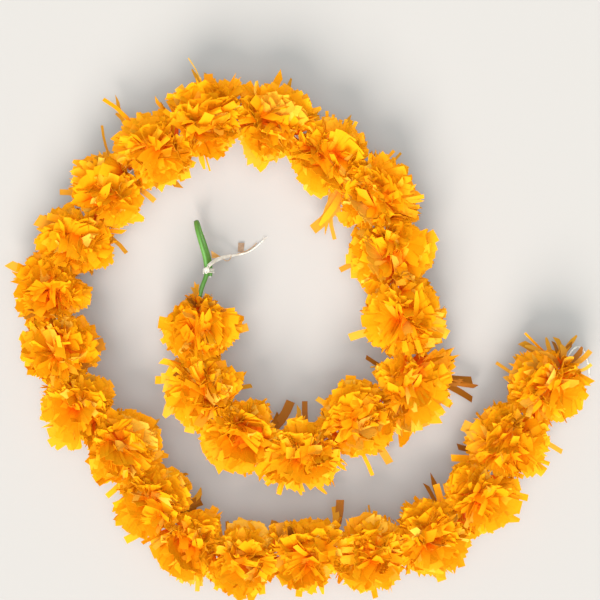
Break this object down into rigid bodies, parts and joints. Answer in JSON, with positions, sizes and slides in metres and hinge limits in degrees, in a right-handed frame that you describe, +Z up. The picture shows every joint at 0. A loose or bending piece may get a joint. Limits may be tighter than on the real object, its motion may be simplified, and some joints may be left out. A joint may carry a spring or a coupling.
{
  "type": "artificial marigold garland",
  "caption": "Garland of fringed orange film blooms strung on one thread and laid in an open spiral, with a folded straw hanging loop.",
  "frame": {"origin": "middle of the garland's plan, on the surface it lies on", "axes": "+Z up out of the surface; the spiral opens towards +X, and the hanging loop points to +Y"},
  "size_m": [0.514, 0.4592, 0.0718],
  "materials": {
    "film": "satin translucent film",
    "scrap": "satin translucent film",
    "straw": "gloss",
    "thread": "matt twisted thread"
  },
  "bodies": {
    "root": {"bloom_01": "film", "bloom_02": "film", "bloom_03": "film", "bloom_04": "film", "bloom_05": "film", "bloom_06": "film", "bloom_07": "film", "bloom_08": "film", "bloom_09": "film", "bloom_10": "film", "bloom_11": "film", "bloom_12": "film", "bloom_13": "film", "bloom_14": "film", "bloom_15": "film", "bloom_16": "film", "bloom_17": "film", "bloom_18": "film", "bloom_19": "film", "bloom_20": "film", "bloom_21": "film", "bloom_22": "film", "bloom_23": "film", "bloom_24": "film", "bloom_25": "film", "bloom_26": "film", "bloom_27": "film", "bloom_28": "film", "straw_loop": "straw", "thread": "thread", "thread_tie": "thread", "thread_tail": "thread", "stop_knot": "thread", "thread_end": "thread", "film_scrap_1": "scrap", "film_scrap_2": "scrap"}
  },
  "joints": []
}
